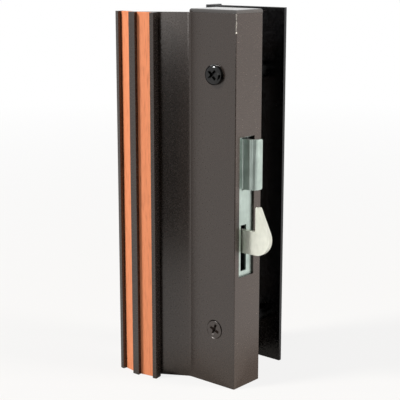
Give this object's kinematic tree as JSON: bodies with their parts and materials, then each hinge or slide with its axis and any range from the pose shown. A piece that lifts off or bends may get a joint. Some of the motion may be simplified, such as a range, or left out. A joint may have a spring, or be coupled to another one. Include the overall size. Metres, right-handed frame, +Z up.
{
  "type": "sliding patio door handle",
  "caption": "Clamp-on sliding patio door handle: black extruded pull with a wood-lined grip, an outside finger plate, and a thumb slide that drops a pivoting hook latch.",
  "frame": {"origin": "midway between the two clamp screws, on the plane of the door's inner face", "axes": "+Z up along the handle, +X towards the jamb that the hook engages, +Y from the room to the outdoors"},
  "size_m": [0.0879, 0.073, 0.2051],
  "materials": {
    "body_paint": "semi-gloss black paint on extruded aluminium, with a brown cast",
    "cap_paint": "semi-gloss black",
    "plate_paint": "gloss black paint",
    "wood": "salmon-brown wood strip, fine straight grain",
    "black_screw": "glossy black",
    "face_screw": "painted with the body's tone",
    "zinc": "zinc-plated steel sheet",
    "hook_zinc": "zinc-plated steel plate, warm and bright",
    "spring_steel": "bare spring wire"
  },
  "bodies": {
    "handle": {"pull_body": "body_paint", "outer_wood_strip": "wood", "inner_wood_strip": "wood", "top_cap": "cap_paint", "upper_clamp_screw": "black_screw", "lower_clamp_screw": "face_screw", "upper_spacer": "zinc", "lower_spacer": "zinc", "outside_plate": "plate_paint", "upper_boss": "black_screw", "lower_boss": "black_screw", "latch_case": "zinc", "case_screws": "black_screw", "guide_studs": "zinc", "pivot_pin": "zinc", "pivot_clip": "zinc", "front_sleeve": "zinc", "rear_sleeve": "zinc", "slide_spring": "spring_steel"},
    "slide": {"thumb_slide": "zinc"},
    "hook": {"latch_hook": "hook_zinc", "drive_stud": "zinc"}
  },
  "joints": [
    {"name": "slide_press", "type": "slide", "parent": "handle", "child": "slide", "axis": [0, 0, -1], "range_m": [0, 0.006], "stiffness_N_per_m": 300, "springref_m": -0.008, "deforming": ["slide_spring"]},
    {"name": "hook_swing", "type": "hinge", "parent": "handle", "child": "hook", "pos_m": [-0.009, -0.0132, -0.0193], "axis": [0, 1, 0], "range_deg": [0, 22]}
  ],
  "couplings": [
    {"joint": "hook_swing", "follows": "slide_press", "rad_per_m": 63.985}
  ]
}
